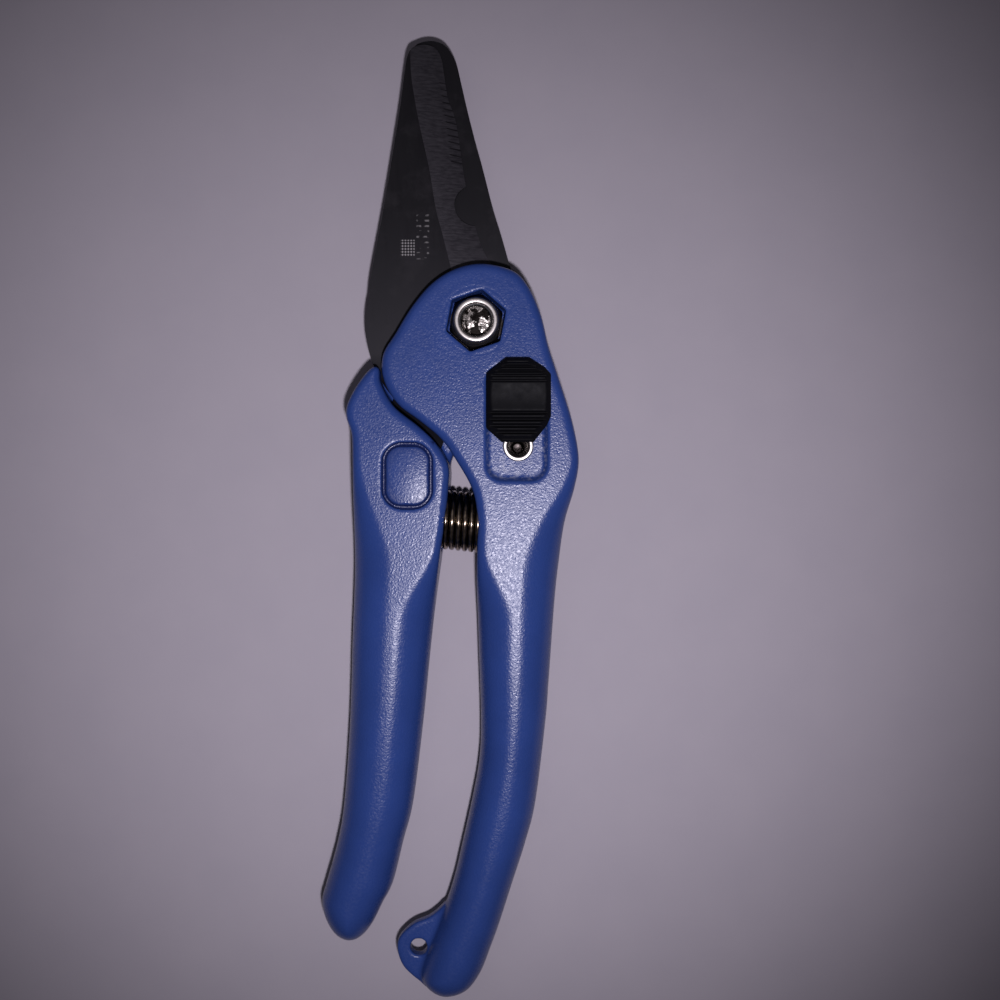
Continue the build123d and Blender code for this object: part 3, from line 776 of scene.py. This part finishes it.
def blue_plastic():
    """Moulded plastic with the grain of a spark-eroded mould."""
    look = Look("blue_plastic", BLUE, 0.3)
    x, y, z = look.axes()
    around = look.math("SQRT", look.math("ADD", look.math("MULTIPLY", x, x), look.math("MULTIPLY", y, y)))
    ring = look.ranged(look.distance(around, 6.95), 0.1, 0.4, 1.0, 0.0)
    ring = look.math("MULTIPLY", ring, look.ranged(z, 15.5, 15.8))
    seam = look.ranged(look.distance(z, MID), 0.08, 0.2, 1.0, 0.0)
    grain = look.math("ADD", look.noise(2300, 3, 0.6), look.math("MULTIPLY", look.cells(2700), 0.4))
    relief = look.math("ADD", look.math("MULTIPLY", grain, 0.5), look.math("MULTIPLY", seam, 0.7))
    relief = look.math("SUBTRACT", relief, look.math("MULTIPLY", ring, 0.2))
    look.bump(relief, 0.85, 0.11)
    blotch = look.ranged(look.noise(90, 4, 0.6), 0.3, 0.7)
    colour = look.mix(blotch, tuple(c * 0.93 for c in BLUE), tuple(c * 1.07 for c in BLUE))
    front = look.ranged(z, 12.5, 13.0)      # the painted shade in the groove and the paler patches in the track are on the front only
    # Painted shade: where the groove around the rivet cover sinks below the top face, it is coloured
    # near-black navy.
    groove = look.math("MULTIPLY", look.box(x, y, REAR_RIVET, GROOVE), look.ranged(z, 15.4, 15.85, 1.0, 0.0))
    groove = look.math("MULTIPLY", groove, front)
    colour = look.mix(look.math("MULTIPLY", groove, 0.9), colour, (0.005, 0.010, 0.06))
    # Paler blue-grey patches at random in the track's recess, below the top face.
    pale_track_patch = look.ranged(look.noise(1000, 5, 0.7), 0.48, 0.62)
    pale_track_patch = look.math("MULTIPLY", pale_track_patch, look.box(x, y, TRACK_MIDDLE, TRACK_SIZE))
    pale_track_patch = look.math("MULTIPLY", pale_track_patch, look.ranged(z, 15.3, 15.9, 1.0, 0.0))
    pale_track_patch = look.math("MULTIPLY", pale_track_patch, front)
    look.drive("Base Color", look.mix(look.math("MULTIPLY", pale_track_patch, 0.6), colour, (0.22, 0.24, 0.34)))
    look.drive("Roughness", look.ranged(look.noise(1700, 2, 0.6), 0.3, 0.7, 0.2, 0.36))
    look.shader.inputs["Specular IOR Level"].default_value = 0.31
    return look.material


def black_plastic():
    """Dull black plastic with a little dust."""
    look = Look("black_plastic", (0.003, 0.003, 0.004), 0.6)
    look.bump(look.noise(3200, 3, 0.6), 0.3, 0.05)
    dust = look.ranged(look.noise(700, 5, 0.7), 0.58, 0.75)
    dust = look.math("MULTIPLY", dust, 0.3)
    look.drive("Base Color", look.mix(dust, (0.003, 0.003, 0.004), (0.015, 0.015, 0.018)))
    look.drive("Roughness", look.ranged(look.noise(500, 3, 0.5), 0.3, 0.7, 0.5, 0.65))
    look.shader.inputs["Specular IOR Level"].default_value = 0.09
    return look.material


def etched_mark(look, x, y):
    """A small patch of plain hatching on the front blade, where a maker would put a mark."""
    def between(value, low, high):
        return look.math("MULTIPLY", look.ranged(value, low, low + 0.2),
                         look.ranged(value, high - 0.2, high, 1.0, 0.0))

    slant = look.math("SINE", look.math("MULTIPLY", look.math("ADD", x, y), 5.2))
    cross = look.math("SINE", look.math("MULTIPLY", look.math("SUBTRACT", x, y), 5.2))
    weave = look.ranged(look.math("MULTIPLY", slant, cross), 0.05, 0.4)
    square = look.math("MULTIPLY", between(x, -15.9, -12.8), between(y, 14.1, 17.7))
    lines = look.ranged(look.math("SINE", look.math("MULTIPLY", y, 5.6)), 0.2, 0.8)
    broken = look.ranged(look.noise(800, 2, 0.5), 0.5, 0.6)
    column = look.math("MULTIPLY", between(x, -12.6, -9.8), between(y, 12.8, 23.6))
    lines = look.math("MULTIPLY", look.math("MULTIPLY", lines, broken), column)
    return look.math("ADD", look.math("MULTIPLY", weave, square), look.math("MULTIPLY", lines, 0.6))


def coated_steel():
    """Black coated blade flats, with faint rolling marks and rubbed patches."""
    look = Look("coated_steel", (0.008, 0.007, 0.009), 0.5, 0.15)
    x, y, z = look.axes()
    fine = look.noise(900, 4, 0.6, look.stretched((1, 0.12, 1), math.radians(-12)))
    rub = look.ranged(look.noise(160, 5, 0.65), 0.52, 0.72)
    look.bump(fine, 0.2, 0.03)
    near_head = look.ranged(y, 26.0, -4.0)
    face = look.ranged(z, FRONT_STEEL[1] - 0.2, FRONT_STEEL[1] - 0.1)
    colour = look.mix(near_head, (0.0045, 0.004, 0.0055), (0.013, 0.012, 0.015))
    colour = look.mix(look.math("MULTIPLY", rub, 0.5), colour, (0.02, 0.018, 0.021))
    # Painted shade: below the pivot the steel lies between the handles' walls, so its colour there is made
    # nearly black and its specular is lowered.
    colour = look.mix(look.ranged(y, -6.0, -12.0), colour, (0.002, 0.002, 0.004))
    mark = look.math("MULTIPLY", etched_mark(look, x, y), face)
    look.drive("Base Color", look.mix(mark, colour, (0.22, 0.21, 0.21)))
    look.drive("Roughness", look.ranged(fine, 0.3, 0.7, 0.42, 0.56))
    look.drive("Specular IOR Level", look.ranged(y, -6.0, -12.0, 0.18, 0.03))
    return look.material


def ground_steel():
    """Bevels, with grinding lines across them."""
    look = Look("ground_steel", (0.05, 0.047, 0.05), 0.42, 0.7)
    lines = look.noise(2600, 3, 0.6, look.stretched((0.03, 1, 1), math.radians(-14)))
    look.bump(lines, 0.25, 0.02)
    colour = look.mix(look.ranged(lines, 0.3, 0.7), (0.024, 0.022, 0.027), (0.042, 0.039, 0.045))
    look.drive("Base Color", colour)
    look.drive("Roughness", look.ranged(lines, 0.3, 0.7, 0.4, 0.54))
    return look.material


def plated_steel():
    """Bright plate, with painted shade on what lies deep between the handles' faces."""
    look = Look("plated_steel", (0.62, 0.58, 0.53), 0.3, 1.0)
    wear = look.noise(1500, 4, 0.6)
    look.bump(wear, 0.3, 0.03)
    bright = look.mix(look.ranged(wear, 0.4, 0.65), (0.60, 0.57, 0.53), (0.33, 0.3, 0.28))
    # Painted shade: anything within 6.1 mm of the handles' middle height, such as the rivets' bores, is
    # coloured nearly black.
    deep = look.ranged(look.distance(look.axes()[2], MID), 6.1, 7.0, 1.0, 0.0)
    look.drive("Base Color", look.mix(deep, bright, (0.035, 0.03, 0.028)))
    look.drive("Roughness", look.ranged(wear, 0.3, 0.7, 0.28, 0.44))
    return look.material


def bolt_steel():
    """The bolt's rough end: bright and nearly black patches at random."""
    look = Look("bolt_steel", (0.5, 0.46, 0.42), 0.32, 1.0)
    patch = look.ranged(look.noise(620, 3, 0.6), 0.50, 0.57)
    look.bump(look.noise(700, 3, 0.6), 0.8, 0.4)
    look.drive("Base Color", look.mix(patch, (0.012, 0.010, 0.009), (0.5, 0.46, 0.42)))
    look.drive("Roughness", look.ranged(patch, 0, 1, 0.6, 0.3))
    return look.material


def spring_wire():
    """Oiled steel wire."""
    look = Look("spring_wire", (0.2, 0.16, 0.12), 0.16, 1.0)
    wear = look.noise(900, 4, 0.6)
    look.drive("Base Color", look.mix(look.ranged(wear, 0.35, 0.65), (0.10, 0.08, 0.06), (0.34, 0.27, 0.2)))
    look.drive("Roughness", look.ranged(wear, 0.3, 0.7, 0.12, 0.22))
    return look.material


def dark_nylon():
    """The nut's insert, nearly black."""
    look = Look("dark_nylon", (0.006, 0.006, 0.007), 0.5)
    look.bump(look.noise(1500, 2, 0.5), 0.2, 0.03)
    look.drive("Roughness", look.ranged(look.noise(800, 2, 0.5), 0.3, 0.7, 0.42, 0.6))
    return look.material


def paper():
    """The matt sheet under the tool."""
    look = Look("paper", (0.36, 0.33, 0.37), 0.9)
    look.bump(look.noise(1500, 3, 0.6), 0.15, 0.05)
    look.drive("Base Color", look.mix(look.noise(60, 4, 0.6), (0.34, 0.315, 0.355), (0.38, 0.35, 0.385)))
    return look.material


def dress(piece, material, slot, body, *nodes):
    """Gives a piece its material, its body and the parts that it stands for; the slot is not used."""
    if material and not piece.data.materials:
        piece.data.materials.append(material)
    if body:
        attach(piece, body)
    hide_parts(*nodes)


def recoat(node, material):
    """A new material on a part that keeps its own shape."""
    piece = frame["nodes"][node]
    piece.data.materials.clear()
    piece.data.materials.append(material)


blue = blue_plastic()
black = black_plastic()
plated = plated_steel()
coated = coated_steel()
ground = ground_steel()

dress(front_handle(), blue, "blue_plastic", "front_lever", "front_handle")
dress(rear_handle(), blue, "blue_plastic", "rear_lever", "rear_handle")
dress(rivet_cover(), blue, "blue_plastic", "rear_lever", "rivet_cover")
dress(lock_button(), black, "black_plastic", "lock_slider", "lock_button")
dress(pivot_nut(), plated, "plated_steel", "front_lever", "pivot_nut")
dress(nut_insert(), dark_nylon(), "nylon", "front_lever", "nut_insert")
dress(pivot_bolt(), bolt_steel(), "plated_steel", "front_lever", "pivot_bolt")
front_tube = rivet("front_rivet_tube", FRONT_RIVET, TRACK_FLOOR)
dress(front_tube, plated, "plated_steel", "front_lever", "front_rivet")
rear_tube = rivet("rear_rivet_tube", REAR_RIVET, 11.4)
dress(rear_tube, plated, "plated_steel", "rear_lever", "rear_rivet")
dress(front_blade(coated, ground), None, "blade_steel", "front_lever", "front_blade")
dress(rear_blade(coated, ground), None, "blade_steel", "rear_lever", "rear_blade")
coil = return_spring()
dress(coil, spring_wire(), "spring_steel", None, "return_spring")
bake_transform(coil)
for node in ("nut_washer", "spring_washer", "lock_catch"):
    recoat(node, plated)


# ---------------------------------------------------------------- floor, light and camera, in metres

CAMERA_AT = (0.01053, 0.00365, 0.260)
SEEN_WIDTH = 0.21


def floor():
    mesh = bpy.data.meshes.new("floor")
    size = 1.5
    corners = [(-size, -size, 0), (size, -size, 0), (size, size, 0), (-size, size, 0)]
    mesh.from_pydata(corners, [], [(0, 1, 2, 3)])
    mesh.materials.append(paper())
    sheet = bpy.data.objects.new("floor", mesh)
    bpy.context.scene.collection.objects.link(sheet)


def lamp(name, kind, at, size, power, colour):
    """A lamp that looks at the middle of the tool. A spot's beam fades towards its edge."""
    light = bpy.data.lights.new(name, kind)
    light.energy = power
    light.color = colour
    if kind == "SPOT":
        light.shadow_soft_size = size
        light.spot_size = math.radians(72)
        light.spot_blend = 1.0
    else:
        light.shape = "DISK"
        light.size = size
    holder = bpy.data.objects.new(name, light)
    holder.location = at
    holder.rotation_euler = (-Vector(at)).to_track_quat("-Z", "Y").to_euler()
    bpy.context.scene.collection.objects.link(holder)


def camera():
    """Looks straight down, and takes in SEEN_WIDTH at the handles' middle."""
    lens = bpy.data.cameras.new("camera")
    lens.sensor_width = 36
    lens.angle = 2 * math.atan(SEEN_WIDTH / 2 / (CAMERA_AT[2] - MID * MM))
    lens.clip_start = 0.01
    holder = bpy.data.objects.new("camera", lens)
    holder.location = CAMERA_AT
    bpy.context.scene.collection.objects.link(holder)
    bpy.context.scene.camera = holder


floor()
camera()
lamp("flash", "SPOT", (0.0205, -0.0295, 0.262), 0.006, 2.35, (1.0, 0.95, 1.06))
lamp("room", "AREA", (-0.3, 0.5, 1.1), 0.9, 0.6, (1.0, 0.96, 1.06))
world = bpy.data.worlds.new("world")
world.use_nodes = True
world.node_tree.nodes["Background"].inputs["Color"].default_value = (1.0, 0.93, 1.1, 1)
world.node_tree.nodes["Background"].inputs["Strength"].default_value = 0.05
bpy.context.scene.world = world
bpy.context.scene.view_settings.view_transform = "Standard"
